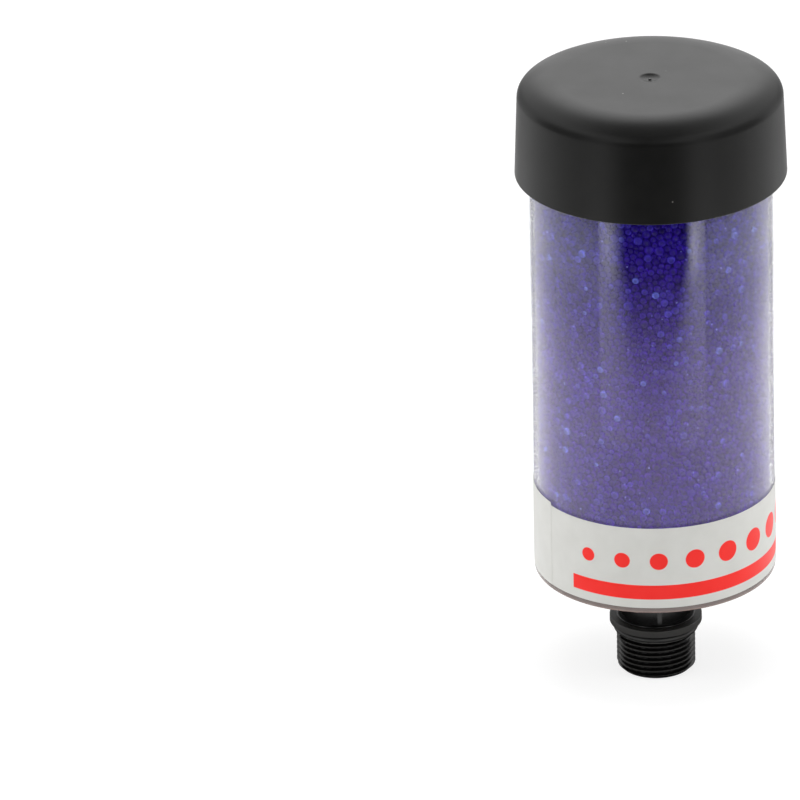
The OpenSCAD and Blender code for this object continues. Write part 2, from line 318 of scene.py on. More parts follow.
hub_and_collar = rounded([
    (RING_IN, PLATE_TOP, 0), (HUB_R, PLATE_TOP, 0.2), (HUB_R, PLATE_Z, 0.2), (COLLAR_IR, PLATE_Z, 0.3),
    (COLLAR_IR, COLLAR_END, 0.5), (COLLAR_R, COLLAR_END, 0.5), (COLLAR_R, PLATE_Z, 0.4),
    (RING_IN, PLATE_Z, 0)])
rim_and_spigot = rounded([
    (RING_OUT, PLATE_Z, 0), (TUBE_R, PLATE_Z, RIM_ROUND), (TUBE_R, TUBE_Z, 0.15), (SPIGOT_R, TUBE_Z, 0),
    (SPIGOT_R, SPIGOT_TOP, 0.4), (SPIGOT_IR, SPIGOT_TOP, 0.4), (SPIGOT_IR, PLATE_TOP, 0.5),
    (RING_OUT, PLATE_TOP, 0)])
mouth_r, throat_z = HOLE_R + HOLE_CHAMFER, PLATE_Z + HOLE_CHAMFER
hole_rims = [
    (None, PLATE_Z), (mouth_r + 0.5, PLATE_Z), (mouth_r + 0.2, PLATE_Z), (mouth_r, PLATE_Z + 0.08),
    (HOLE_R + 0.15, throat_z - 0.08), (HOLE_R, throat_z + 0.2), (HOLE_R, PLATE_TOP - 0.15),
    (HOLE_R + 0.15, PLATE_TOP), (HOLE_R + 0.4, PLATE_TOP), (None, PLATE_TOP)]
plate_grids = [turned(hub_and_collar), turned(rim_and_spigot)]
plate_grids += [hole_patch(n, hole_rims) for n in range(HOLES)]
plate_faces, first = [], 0
for grid in plate_grids:
    plate_faces.append(first + grid_faces(grid, False))
    first += grid.shape[0] * grid.shape[1]
plate = new_piece("intake_plate", np.concatenate([g.reshape(-1, 3) for g in plate_grids]),
                  np.concatenate(plate_faces))
spots = np.empty(len(plate.data.vertices) * 3)
plate.data.vertices.foreach_get("co", spots)
x, y, z = spots.reshape(-1, 3).T / MM
middle = 2 * np.pi * np.arange(HOLES)[:, None] / HOLES
from_hole = np.hypot(x - HOLE_RING * np.cos(middle), y - HOLE_RING * np.sin(middle)).min(0)
note(plate, "hole_chamfer", (from_hole < mouth_r + 0.1) & (z < throat_z))

# Smoky clear acrylic: nearly clear face on, milky and faintly pink at its rim, and milkier towards the rim's
# lower edge as a painted highlight. The pink is partly a painted reflection of the red label. The chamfers
# of the holes, the end of the collar and the corner inside the spigot are painted pale as highlights, and
# the knit line of the moulding shows up pale.
# Lamps shine through it, as they do through the real one, so what lies behind is lit.
smoky, tree, place = new_material("smoky_clear_acrylic")
axis, reach = off_axis(tree, place)
ripple = add(tree, "TexNoise", {"Vector": place, "Scale": per_metre(1.4), "Detail": 3.0})
weld = add(tree, "MapRange", {"Value": reach, "From Min": (SPIGOT_IR + 1) * MM,
                              "From Max": (SPIGOT_IR + 1.8) * MM, "To Min": 0.02, "To Max": 0.8})
skin = add(tree, "Bump", {"Height": ripple, "Strength": weld, "Distance": 0.3 * MM})
# Painted highlight: the rim grows milkier towards its lower edge.
lower_edge_highlight = add(tree, "MapRange", {"Value": axis["Z"], "From Min": (PLATE_Z + 1.3) * MM,
                                  "From Max": (PLATE_Z + 0.4) * MM, "To Min": 0.36, "To Max": 0.66})
cloudy = add(tree, "MapRange", {"Value": reach, "From Min": (TUBE_R - 1.4) * MM,
                                "From Max": (TUBE_R - 0.3) * MM, "To Max": lower_edge_highlight})
# Painted highlights: the chamfers, the end of the collar and the corner inside the spigot are made pale.
chamfered = add(tree, "Attribute", attribute_name="hole_chamfer").outputs["Fac"]
collar_end = between(tree, axis["Z"], COLLAR_END - 0.6, COLLAR_END + 0.4, 0.2)
corner_highlight = between(tree, reach, SPIGOT_IR - 0.5, SPIGOT_IR - 0.15, 0.08)
knit_line = between(tree, axis["Y"], -0.1, 0.1, 0.08)
faint_knit = add(tree, "Math", {0: knit_line, 1: 0.4}, operation="MULTIPLY")
lines = add(tree, "Math", {0: corner_highlight, 1: faint_knit}, operation="MAXIMUM")
for part, milkiness in ((chamfered, 0.45), (collar_end, 0.4), (lines, 1.0)):
    milky = add(tree, "Math", {0: part, 1: milkiness}, operation="MULTIPLY")
    cloudy = add(tree, "Math", {0: cloudy, 1: milky}, operation="MAXIMUM")
clearness = add(tree, "MapRange", {"Value": cloudy, "To Min": 0.95, "To Max": 0.0})
# The pink of the milky parts is partly a painted reflection of the red label.
edge_tint = add(tree, "MixRGB", {"Fac": lines, "Color1": colour("#b8978f"), "Color2": colour("#f2efec")})
tint = add(tree, "MixRGB", {"Fac": clearness, "Color1": edge_tint, "Color2": colour("#b6aca6")})
clear_shader = add(tree, "BsdfPrincipled", {
    "Base Color": tint, "Roughness": 0.06, "IOR": 1.49, "Transmission Weight": clearness, "Normal": skin})
lamp_light = add(tree, "BsdfTransparent", {"Color": colour("#b8a8a0")})
shadow_ray = add(tree, "LightPath").outputs["Is Shadow Ray"]
both = add(tree, "MixShader", {0: shadow_ray, 1: clear_shader, 2: lamp_light})
add(tree, "OutputMaterial", {"Surface": both})
plate.data.materials.append(smoky)
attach(plate, "housing")
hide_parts("base_plate")

# Foam pads, filter felts and standpipe
# Die-cut rings of open-cell foam and needled felt are stacked round a plain plastic pipe.
# They lie loose in the tube, and the ring inside the cap holds them down.

# Open-cell foam: dark and dull, with a pit for each cell, darkened with painted shade.
foam, tree, place = new_material("open_cell_foam")
cells = add(tree, "TexVoronoi", {"Vector": place, "Scale": per_metre(1.1)})
shaded_pits = add(tree, "MixRGB", {"Fac": cells, "Color1": colour("#080706"), "Color2": colour("#2a2523")})
skin = add(tree, "Bump", {"Height": cells, "Strength": 0.8, "Distance": 0.5 * MM})
soft_shader = add(tree, "BsdfPrincipled", {"Base Color": shaded_pits, "Roughness": 0.95, "Normal": skin})
add(tree, "OutputMaterial", {"Surface": soft_shader})

# Needled felt: off-white, with matted fibres that catch a little light edge on.
felt, tree, place = new_material("needled_polyester_felt")
fibre = add(tree, "TexNoise", {"Vector": place, "Scale": per_metre(0.6), "Detail": 6.0, "Distortion": 1.5})
tone = add(tree, "MixRGB", {"Fac": fibre, "Color1": colour("#b9b7ae"), "Color2": colour("#ecebe4")})
skin = add(tree, "Bump", {"Height": fibre, "Strength": 0.6, "Distance": 0.3 * MM})
soft_shader = add(tree, "BsdfPrincipled", {"Base Color": tone, "Roughness": 0.9, "Sheen Weight": 0.2,
                                           "Normal": skin})
add(tree, "OutputMaterial", {"Surface": soft_shader})

# Extruded PVC: pale grey and satin, with faint lengthwise streaks from the die.
pvc, tree, place = new_material("extruded_grey_pvc")
stretched = add(tree, "Mapping", {"Vector": place, "Scale": (1.0, 1.0, 0.03)})
drawn = add(tree, "TexNoise", {"Vector": stretched, "Scale": per_metre(0.8)})
tone = add(tree, "MixRGB", {"Fac": drawn, "Color1": colour("#a9a9a7"), "Color2": colour("#bdbdba")})
pipe_shader = add(tree, "BsdfPrincipled", {"Base Color": tone, "Roughness": 0.35})
add(tree, "OutputMaterial", {"Surface": pipe_shader})

for node_name, finish in (("intake_foam", foam), ("outlet_foam", foam), ("intake_felt", felt),
                          ("outlet_felt", felt), ("standpipe", pvc)):
    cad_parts[node_name].data.materials.clear()
    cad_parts[node_name].data.materials.append(finish)

# Silica gel
# Indicator beads of 2 to 4.5 mm, poured in and tapped down, lie against the bore of the tube.
# Two layers of beads are made where the tube is open to view, over a core that stands for the rest.
gel_low, gel_high = (np.array(v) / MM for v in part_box("silica_gel"))
BORE_WALL_R, BEAD_R, BEAD_SPREAD, BEAD_MIN, BEAD_MAX = 48.7, 1.5, 0.32, 1.0, 2.4
SHELL_R, BEADS_LOW, BEADS_HIGH = BORE_WALL_R - BEAD_R, 80.0, gel_high[2]
BEAD_PITCH, ROW_SHARE, SCATTER_SHARE = 3.0, 0.8, 0.3
SETTLE_STEPS, NEAR, PUSH_SHARE = 40, 3, 0.25
CLEAR_SHARE, CLEARER_BY, MEAN_SINK, SECOND_SINK = 0.025, 0.4, 0.2, (1.6, 2.6)
BLUE_ABOVE, VIOLET_BELOW = 215, 150
PIPE_R, CORE_R, CORE_TONE = 13.2, BORE_WALL_R - 4.6, 0.12
rng = np.random.default_rng(7475)


def ball(rings, sides):
    """Unit ball about its first axis: a pole, rings of points at the given angles from it, and a back pole.

    Returns its points and triangles: a fan at each pole and a zigzag band between the rings.
    """
    turn = (np.arange(sides) + 0.5 * np.arange(len(rings))[:, None]) * 2 * np.pi / sides
    lean = np.radians(rings)[:, None] + 0 * turn
    ring = np.stack([np.cos(lean), np.sin(lean) * np.cos(turn), np.sin(lean) * np.sin(turn)], -1)
    v = np.concatenate([[[1, 0, 0]], ring.reshape(-1, 3), [[-1, 0, 0]]])
    i = 1 + np.arange(len(rings))[:, None] * sides + np.arange(sides)
    j = np.roll(i, -1, 1)
    last = np.full(sides, len(v) - 1)
    f = np.concatenate([
        np.stack([0 * last, i[0], j[0]], -1), np.stack([i[:-1], i[1:], j[:-1]], -1).reshape(-1, 3),
        np.stack([j[:-1], i[1:], j[1:]], -1).reshape(-1, 3), np.stack([i[-1], last, j[-1]], -1)])
    return v, f


def settled_layer():
    """Beads on a shell just inside the bore, as arrays of arc, height and radius in millimetres.

    They start as a loose triangular lattice of uneven beads, and each is pushed away from the neighbours
    that it overlaps, a part of the way at a time, until they hardly do.
    """
    low, high = BEADS_LOW, BEADS_HIGH - BEAD_MAX
    turn = 2 * np.pi * SHELL_R
    columns = int(turn / BEAD_PITCH)
    rows = int((high - low) / (BEAD_PITCH * ROW_SHARE))
    rows -= rows % 2
    row, column = np.mgrid[0:rows, 0:columns]
    arc = (column + 0.5 * (row % 2)) * turn / columns
    height = low + (row + 0.5) * (high - low) / rows
    arc = arc + rng.normal(0, SCATTER_SHARE * BEAD_PITCH, arc.shape)
    height = height + rng.normal(0, SCATTER_SHARE * BEAD_PITCH, arc.shape)
    size = np.clip(rng.normal(BEAD_R, BEAD_SPREAD, arc.shape), BEAD_MIN, BEAD_MAX)
    for _ in range(SETTLE_STEPS):
        move_arc, move_height = np.zeros_like(arc), np.zeros_like(arc)
        for d_row in range(-NEAR, NEAR + 1):
            for d_column in range(-NEAR, NEAR + 1):
                if d_row == 0 and d_column == 0:
                    continue
                other = [np.roll(q, (d_row, d_column), (0, 1)) for q in (arc, height, size)]
                away = (arc - other[0] + turn / 2) % turn - turn / 2
                up = height - other[1]
                gap = np.hypot(away, up) + 1e-6
                push = np.clip(2 * np.sqrt(size * other[2]) - gap, 0, None) * PUSH_SHARE / gap
                move_arc += away * push
                move_height += up * push
        arc, height = arc + move_arc, np.clip(height + move_height, low, high)
    return arc.ravel(), height.ravel(), size.ravel()


def bead_piece(name, arc, height, size, depth, tone, shape):
    """One mesh of beads: a ball at each place on the bore's wall, sunk by depth, its pole to the wall.

    Each ball carries its own tone, and each point of it how far it faces out to the wall, from -1 to 1.
    """
    v, f = shape
    a = arc / SHELL_R
    out_way = np.stack([np.cos(a), np.sin(a), 0 * a], -1)
    along = np.stack([-np.sin(a), np.cos(a), 0 * a], -1)
    up = np.array([0, 0, 1.0])
    centre = (BORE_WALL_R - size - depth)[:, None] * out_way + height[:, None] * up
    facing = v[:, 0, None] * out_way[:, None] + v[:, 1, None] * along[:, None] + v[:, 2, None] * up
    points = centre[:, None] + size[:, None, None] * facing
    faces = (np.arange(len(arc))[:, None, None] * len(v) + f[None]).reshape(-1, 3)
    piece = new_piece(name, points, faces, sharp=0, merge=False, outward=False)
    note(piece, "bead_tone", np.repeat(tone, len(v)))
    note(piece, "bead_out", np.tile(v[:, 0], len(arc)))
    return piece


# Indicator silica gel: deep cobalt glass that light soaks through, shown by a glow of painted light. Painted
# shade makes a bead darkest where it meets the others, a painted highlight makes it brightest in a ring
# round the side against the wall, and a painted pattern of light and dark stands in for the beads seen
# faintly through it. A few beads are clearer than the rest or hold a painted glint. Lower down, nearer the
# intake, they are more violet.
gel, tree, place = new_material("indicator_silica_gel")
tone = add(tree, "Attribute", attribute_name="bead_tone").outputs["Fac"]
toward_wall = add(tree, "Attribute", attribute_name="bead_out").outputs["Fac"]
patch = add(tree, "TexNoise", {"Vector": place, "Scale": per_metre(9), "Detail": 2.0})
drift = add(tree, "MapRange", {"Value": patch, "From Min": 0.25, "From Max": 0.75,
                               "To Min": -0.15, "To Max": 0.15})
patchy = add(tree, "Math", {0: tone, 1: drift})
blues = add(tree, "ValToRGB", {"Fac": patchy})
# Painted shade where a bead meets the others, and a painted highlight in a ring round its side.
painted_bead_shading = add(tree, "ValToRGB", {"Fac": toward_wall})
for ramp, first_code, last_code, stops in (
        (blues.color_ramp, "#1c0a70", "#6c78ec", ((0.35, "#280e8e"), (0.6, "#3419a8"), (0.8, "#4638c6"))),
        (painted_bead_shading.color_ramp, "#a0a0a0", "#acacac", ((0.35, "#cccccc"), (0.66, "#f6f6f6"), (0.88, "#c4c4c4")))):
    ramp.elements[0].color = colour(first_code)
    ramp.elements[1].color = colour(last_code)
    for at, code in stops:
        ramp.elements.new(at).color = colour(code)
height_of = add(tree, "SeparateXYZ", {"Vector": place}).outputs["Z"]
# The beads are more violet lower down.
more_violet_lower = add(tree, "MapRange", {"Value": height_of, "From Min": BLUE_ABOVE * MM,
                              "From Max": VIOLET_BELOW * MM, "To Max": 0.2})
hue = add(tree, "MixRGB", {"Fac": more_violet_lower, "Color1": blues, "Color2": colour("#8418d0")})
# A painted pattern of light and dark stands in for beads seen through the front ones.
behind = add(tree, "TexVoronoi", {"Vector": place, "Scale": per_metre(2.8)})
painted_see_through = add(tree, "MapRange", {"Value": behind, "From Min": 0.15, "From Max": 0.55,
                                       "To Min": 1.18, "To Max": 0.8})
deep = add(tree, "MixRGB", {"Fac": 1.0, "Color1": painted_bead_shading, "Color2": painted_see_through}, blend_type="MULTIPLY")
body = add(tree, "MixRGB", {"Fac": 1.0, "Color1": hue, "Color2": deep}, blend_type="MULTIPLY")
# A painted glint on a few beads.
spark = add(tree, "TexVoronoi", {"Vector": place, "Scale": per_metre(2.0)})
spark_spot = add(tree, "MapRange", {"Value": spark, "From Min": 0.14, "From Max": 0.24,
                                    "To Min": 0.6, "To Max": 0.0})
draw = add(tree, "SeparateColor", {"Color": spark.outputs["Color"]})
few = add(tree, "Math", {0: draw, 1: 0.93}, operation="GREATER_THAN")
glint = add(tree, "Math", {0: spark_spot, 1: few}, operation="MULTIPLY")
lit_body = add(tree, "MixRGB", {"Fac": glint, "Color1": body, "Color2": colour("#8c8cf4")})
# The emission is painted light, standing in for light that soaks through the beads.
bead_shader = add(tree, "BsdfPrincipled", {
    "Base Color": lit_body, "Roughness": 0.18, "IOR": 1.46, "Specular IOR Level": 0.3,
    "Emission Color": lit_body, "Emission Strength": 0.33})
add(tree, "OutputMaterial", {"Surface": bead_shader})

arc, height, size = settled_layer()
tone_of = rng.beta(3.0, 4.0, arc.size)
tone_of = np.clip(tone_of + (rng.random(arc.size) < CLEAR_SHARE) * CLEARER_BY, 0, 1)
depth_of = rng.exponential(MEAN_SINK, arc.size)
front_ball = ball((32, 60, 88), 8)
band = np.clip(((height - BEADS_LOW) / (BEADS_HIGH - BEADS_LOW) * 3).astype(int), 0, 2)
gel_pieces = []
for k, part in enumerate(("lower", "middle", "upper")):
    own = [q[band == k] for q in (arc, height, size, depth_of, tone_of)]
    gel_pieces.append(bead_piece("gel_beads_" + part, *own, front_ball))
arc, height, size = settled_layer()
gel_pieces.append(bead_piece("gel_beads_behind", arc, height, size, rng.uniform(*SECOND_SINK, arc.size),
                             rng.beta(4.0, 6.0, arc.size), ball((50, 95), 6)))
core_grid = turned(rounded([(PIPE_R, gel_low[2], 0), (CORE_R, gel_low[2], 0.5), (CORE_R, gel_high[2], 0.5),
                            (PIPE_R, gel_high[2], 0)]))
core = new_piece("gel_core", core_grid, grid_faces(core_grid, True))
note(core, "bead_tone", np.full(len(core.data.vertices), CORE_TONE))
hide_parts("silica_gel")
for piece in (*gel_pieces, core):
    piece.data.materials.append(gel)
    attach(piece, "housing")

# Housing tube
# Clear extruded acrylic, four inches across, sawn to length and polished at the ends.
# It stands on the rim of the base plate, bonded over the spigot.
tube_low, tube_high = (np.array(v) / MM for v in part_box("housing_tube"))
TUBE_IR = 48.8
tube_grid = turned(rounded([(TUBE_IR, tube_low[2], 0.1), (TUBE_R, tube_low[2], 0.2),
                            (TUBE_R, tube_high[2], 0.3), (TUBE_IR, tube_high[2], 0.3)]))
tube = new_piece("clear_tube", tube_grid, grid_faces(tube_grid, True))
centres = np.empty(len(tube.data.polygons) * 3)
tube.data.polygons.foreach_get("center", centres)
in_bore = np.hypot(centres[0::3], centres[1::3]) < (TUBE_IR + 0.1) * MM

# Clear acrylic: all but colourless, mirror smooth, drawn with faint lengthwise waves that bend its
# highlights. Beads lie against the bore, and where one touches, the wall sends no light back.
for name, touched in (("clear_extruded_acrylic", 0.0), ("clear_acrylic_bore", 0.35)):
    acrylic, tree, place = new_material(name)
    stretched = add(tree, "Mapping", {"Vector": place, "Scale": (1.0, 1.0, 0.06)})
    drawn = add(tree, "TexNoise", {"Vector": stretched, "Scale": per_metre(7), "Detail": 1.0})
    skin = add(tree, "Bump", {"Height": drawn, "Strength": 0.05, "Distance": 0.4 * MM})
    clear_shader = add(tree, "BsdfPrincipled", {
        "Base Color": colour("#f4f5f2"), "Roughness": 0.015, "IOR": 1.49, "Transmission Weight": 1.0,
        "Normal": skin})
    lamp_light = add(tree, "BsdfTransparent", {"Color": colour("#f6f8fb")})
    shadow_ray = add(tree, "LightPath").outputs["Is Shadow Ray"]
    passing = add(tree, "Math", {0: shadow_ray, 1: touched}, operation="MAXIMUM")
    both = add(tree, "MixShader", {0: passing, 1: clear_shader, 2: lamp_light})
    add(tree, "OutputMaterial", {"Surface": both})
    tube.data.materials.append(acrylic)
tube.data.polygons.foreach_set("material_index", in_bore.astype(np.int32))
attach(tube, "housing")
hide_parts("housing_tube")

# Label
# Printed film strip with glue on its back, cut to a little more than the girth of the tube.
# It is stuck once round the foot of the tube a little askew, one end lapped on the other.
LABEL_R, LABEL_T, LABEL_Z, LABEL_H = 50.85, 0.1, 50.7, 36.7
LAP_ANGLE, LAP_SWEEP, LAP_RISE, STRIP_STEPS = 212.0, 14.0, 1.5, 400
STEP_BEFORE, STEP_SWEEP, CLIMB_FROM, CLIMB_END = 6.0, 5.0, 370.0, 30.0
INK_EDGE, BAND_FROM, BAND_TO, BAND_LOW, BAND_HIGH = 0.12, 14.0, 292.0, 4.0, 10.5
SPOTS, SPOT_FROM, SPOT_PITCH, SPOT_UP, SPOT_R, SPOT_GROWTH = 9, 22.0, 15.5, 21.5, 3.0, 0.4
lap_end = LAP_ANGLE + 360
degrees = np.linspace(LAP_ANGLE - LAP_SWEEP, lap_end, STRIP_STEPS)
sweep = np.radians(degrees)
lapped = np.clip((degrees - (lap_end - LAP_SWEEP - STEP_BEFORE)) / STEP_SWEEP, 0, 1)
climb = np.clip((degrees - CLIMB_FROM) / (lap_end - CLIMB_END - CLIMB_FROM), 0, 1)
rise = LAP_RISE * climb ** 2 * (3 - 2 * climb)
inner = LABEL_R + LABEL_T * lapped
section_r = np.stack([inner, inner + LABEL_T, inner + LABEL_T, inner])
section_z = LABEL_Z + np.array([0, 0, 1, 1])[:, None] * (LABEL_H + rise)
strip_grid = np.stack([section_r * np.cos(sweep), section_r * np.sin(sweep), section_z], -1)
strip_faces = np.concatenate([
    grid_faces(strip_grid, True, False),
    np.array([[k * STRIP_STEPS + end for k in range(4)] for end in (0, STRIP_STEPS - 1)])])
label = new_piece("label_strip", strip_grid, strip_faces, merge=False)
along = np.broadcast_to((sweep - np.radians(LAP_ANGLE)) * LABEL_R, (4, STRIP_STEPS))
up = np.broadcast_to(np.array([0, 0, LABEL_H, LABEL_H])[:, None], (4, STRIP_STEPS))
corner = np.empty(len(label.data.loops), np.int32)
label.data.loops.foreach_get("vertex_index", corner)
strip_uv = label.data.uv_layers.new(name="strip_mm")
strip_uv.data.foreach_set("uv", np.stack([along.ravel(), up.ravel()], -1)[corner].astype(np.float32).ravel())

# Printed film: pale grey satin film with one opaque red ink.
# The print is a plain band along the foot and a row of round spots that grow along it.
film, tree, place = new_material("printed_label_film")
strip = add(tree, "UVMap", uv_map="strip_mm")
mm = add(tree, "SeparateXYZ", {"Vector": strip}).outputs
band_along = between(tree, mm["X"], BAND_FROM, BAND_TO, INK_EDGE, unit=1)
band_up = between(tree, mm["Y"], BAND_LOW, BAND_HIGH, INK_EDGE, unit=1)
ink = add(tree, "Math", {0: band_along, 1: band_up}, operation="MULTIPLY")
for k in range(SPOTS):
    centre = (SPOT_FROM + SPOT_PITCH * k, SPOT_UP, 0)
    away = add(tree, "VectorMath", {0: strip, 1: centre}, operation="DISTANCE").outputs["Value"]
    spot = between(tree, away, -1, SPOT_R + SPOT_GROWTH * k, INK_EDGE, unit=1)
    ink = add(tree, "Math", {0: ink, 1: spot}, operation="MAXIMUM")
fleck = add(tree, "TexNoise", {"Vector": place, "Scale": per_metre(9), "Detail": 2.0})
paper = add(tree, "MixRGB", {"Fac": fleck, "Color1": colour("#d3d3ce"), "Color2": colour("#e0e0dc")})
red = add(tree, "MixRGB", {"Fac": fleck, "Color1": colour("#fc231d"), "Color2": colour("#ff3029")})
printed = add(tree, "MixRGB", {"Fac": ink, "Color1": paper, "Color2": red})
skin = add(tree, "Bump", {"Height": fleck, "Strength": 0.05, "Distance": 0.3 * MM})
film_shader = add(tree, "BsdfPrincipled", {"Base Color": printed, "Roughness": 0.38, "IOR": 1.5,
                                           "Specular IOR Level": 0.25, "Normal": skin})
add(tree, "OutputMaterial", {"Surface": film_shader})
label.data.materials.append(film)
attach(label, "housing")
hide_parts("label")

# Cap
# Soft black polyethylene, moulded from a gate in the middle of its top, with a drafted skirt.
# It is pushed on the tube: the top lies on the tube's end and an inner ring plugs its bore.
cap_low, cap_high = (np.array(v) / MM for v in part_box("cap"))
CAP_MOUTH_R, CAP_WALL, CAP_TOP_T, CAP_DRAFT = 56.6, 2.4, 2.6, np.radians(2.3)
CROWN_R, CROWN_RISE, CROWN_DROP, CAP_ROUND = 38.0, 2.4, 8.0, 5.0
PLUG_R, PLUG_WALL, PLUG_DEPTH, MOUTH_BEVEL = 48.5, 2.0, 8.0, 0.8
GATE_R, GATE_DEPTH, STUB_R, STUB_H = 4.5, 0.9, 0.6, 0.4
mouth_z, top_z = cap_low[2], cap_high[2]
seat_z = top_z - CAP_TOP_T - CROWN_RISE
under_r = CAP_MOUTH_R - CAP_WALL - (seat_z - mouth_z) * np.tan(CAP_DRAFT)


def arc_line(centre, radius, start, end, steps):
    """Points (r, z) of an arc about a centre, from one angle to another."""
    a = np.linspace(start, end, steps)[:, None]
    return centre + radius * np.concatenate([np.cos(a), np.sin(a)], 1)


# The edge's arc touches the side and the bowed shoulder, and the shoulder's arc touches the flat top.
edge_z = top_z - CROWN_DROP
side_r = CAP_MOUTH_R - (edge_z - mouth_z) * np.tan(CAP_DRAFT)
edge = np.array([side_r - CAP_ROUND / np.cos(CAP_DRAFT), edge_z])
bow_r = ((edge[0] - CROWN_R) ** 2 + CROWN_DROP ** 2 - CAP_ROUND ** 2) / (2 * (CROWN_DROP - CAP_ROUND))
bow = np.array([CROWN_R, top_z - bow_r])
lean = np.arctan2(edge[1] - bow[1], edge[0] - bow[0])
ceiling_r = bow_r - CAP_TOP_T
ceiling_end = np.arccos((PLUG_R - PLUG_WALL - CROWN_R) / ceiling_r)
ceiling = arc_line(bow, ceiling_r, np.pi / 2, ceiling_end, 8)
dish = np.linspace(1, 0.3, 8)
dish_z = top_z - GATE_DEPTH * (1 - dish ** 2)
stub_z = dish_z[-1]
cap_line = np.concatenate([
    [[0, top_z - CAP_TOP_T]], ceiling,
    rounded([
        (*ceiling[-1], 0), (PLUG_R - PLUG_WALL, seat_z - PLUG_DEPTH, 0.5),
        (PLUG_R, seat_z - PLUG_DEPTH, 0.5), (PLUG_R, seat_z, 0.3), (under_r, seat_z, 1.2),
        (CAP_MOUTH_R - CAP_WALL, mouth_z + MOUTH_BEVEL, 0.5),
        (CAP_MOUTH_R - CAP_WALL + MOUTH_BEVEL, mouth_z, 0.3), (CAP_MOUTH_R, mouth_z, 0.45),
        (edge[0] + CAP_ROUND + 0.05, edge_z - 1.0, 0)], steps=8),
    arc_line(edge, CAP_ROUND, CAP_DRAFT, lean, 14), arc_line(bow, bow_r, lean, np.pi / 2, 14)[1:],
    [[CROWN_R - 0.6, top_z], [GATE_R + 0.6, top_z]],
    np.column_stack([GATE_R * dish, dish_z]),
    [[STUB_R + 0.1, stub_z + 0.02], [STUB_R, stub_z + STUB_H - 0.05], [0, stub_z + STUB_H]],
])
cap_grid = turned(cap_line)
cap = new_piece("push_on_cap", cap_grid, grid_faces(cap_grid, False), sharp=50)

# Soft polyethylene: a matte grained skin, glossier in some clouds than in others, with a few specks of dust.
soft_black, tree, place = new_material("soft_black_polyethylene")
grain = add(tree, "TexNoise", {"Vector": place, "Scale": per_metre(0.45), "Detail": 3.0})
cloud = add(tree, "TexNoise", {"Vector": place, "Scale": per_metre(14), "Detail": 5.0, "Roughness": 0.6})
speck = add(tree, "TexVoronoi", {"Vector": place, "Scale": per_metre(9)})
speck_spot = add(tree, "MapRange", {"Value": speck, "From Min": 0.025, "From Max": 0.05,
                                    "To Min": 1.0, "To Max": 0.0})
draw = add(tree, "SeparateColor", {"Color": speck.outputs["Color"]})
some = add(tree, "Math", {0: draw, 1: 0.72}, operation="GREATER_THAN")
dusty = add(tree, "Math", {0: speck_spot, 1: some}, operation="MULTIPLY")
base = add(tree, "MixRGB", {"Fac": cloud, "Color1": colour("#0b0b0b"), "Color2": colour("#121211")})
specked = add(tree, "MixRGB", {"Fac": dusty, "Color1": base, "Color2": colour("#8a8a86")})
gloss = add(tree, "MapRange", {"Value": cloud, "To Min": 0.3, "To Max": 0.4})
skin = add(tree, "Bump", {"Height": grain, "Strength": 0.12, "Distance": 0.06 * MM})
cap_shader = add(tree, "BsdfPrincipled", {"Base Color": specked, "IOR": 1.51, "Specular IOR Level": 0.27,
                                          "Roughness": gloss, "Normal": skin})
add(tree, "OutputMaterial", {"Surface": cap_shader})
cap.data.materials.append(soft_black)
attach(cap, "cap")
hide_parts("cap")

# Studio
# A white table that ends in front of the breather, white flaps either side of the opening
# that the camera looks through, and the dim room in front, seen only in reflections.
TABLE_FRONT, TABLE_BACK, TABLE_HALF, CEILING_Z, CEILING_BACK = -560, 1500, 1500, 1200, 760
FOOT_DARK, FOOT_LIT, FRONT_DARK, FRONT_LIT = 75, 84, 535, 305
SIDE_DARK, SIDE_LIT, RING_NEAR, RING_FAR = 600, 300, 470, 560
WHITE = colour("#ffffff")


def card(name, corners):
    """Flat four-cornered sheet from millimetre corners."""
    piece = new_piece(name, corners, np.array([[0, 1, 2, 3]]), sharp=0, merge=False, outward=False)
    return piece


def level_sheet(half, front, back, height):
    """Corners of a level sheet that reaches half its width to either side."""
    return [(-half, front, height), (half, front, height), (half, back, height), (-half, back, height)]


table = card("table", level_sheet(TABLE_HALF, TABLE_FRONT, TABLE_BACK, 0))
white_table, tree, place = new_material("white_table")
path = add(tree, "LightPath").outputs
axis = add(tree, "SeparateXYZ", {"Vector": place}).outputs
ahead = axis["Y"]
aside = add(tree, "Math", {0: axis["X"]}, operation="ABSOLUTE")
far = add(tree, "VectorMath", {0: place}, operation="LENGTH").outputs["Value"]
# Under the breather little of the room's light arrives, and away from it the table falls into the dim:
# all the way in front, where the camera's opening lies, and half the way at the sides, apart from a ring
# that some light reaches. Slantwise behind, the table is dimmer too.
open_air = add(tree, "MapRange", {"Value": far, "From Min": FOOT_DARK * MM, "From Max": FOOT_LIT * MM},
               interpolation_type="SMOOTHSTEP")
front_dim = add(tree, "MapRange", {"Value": far, "From Min": FRONT_DARK * MM, "From Max": FRONT_LIT * MM},
                interpolation_type="SMOOTHSTEP")
side_floor = add(tree, "MapRange", {"Value": ahead, "From Min": -350 * MM, "From Max": 0.0,
                                    "To Min": 0.24, "To Max": 0.5})
side_dim = add(tree, "MapRange", {"Value": far, "From Min": SIDE_DARK * MM, "From Max": SIDE_LIT * MM,
                                  "To Min": side_floor}, interpolation_type="SMOOTHSTEP")
lift = add(tree, "MapRange", {"Value": ahead, "From Min": -250 * MM, "From Max": 0.0,
                              "To Min": 0.3, "To Max": 0.17})
lift_ring = between(tree, far, RING_NEAR, RING_FAR, 20)
lifted = add(tree, "Math", {0: lift_ring, 1: lift}, operation="MULTIPLY")
side_part = add(tree, "Math", {0: side_dim, 1: lifted}, operation="ADD")
toward = add(tree, "Math", {0: ahead, 1: -0.95}, operation="MULTIPLY")
in_front = add(tree, "Math", {0: toward, 1: aside}, operation="GREATER_THAN")
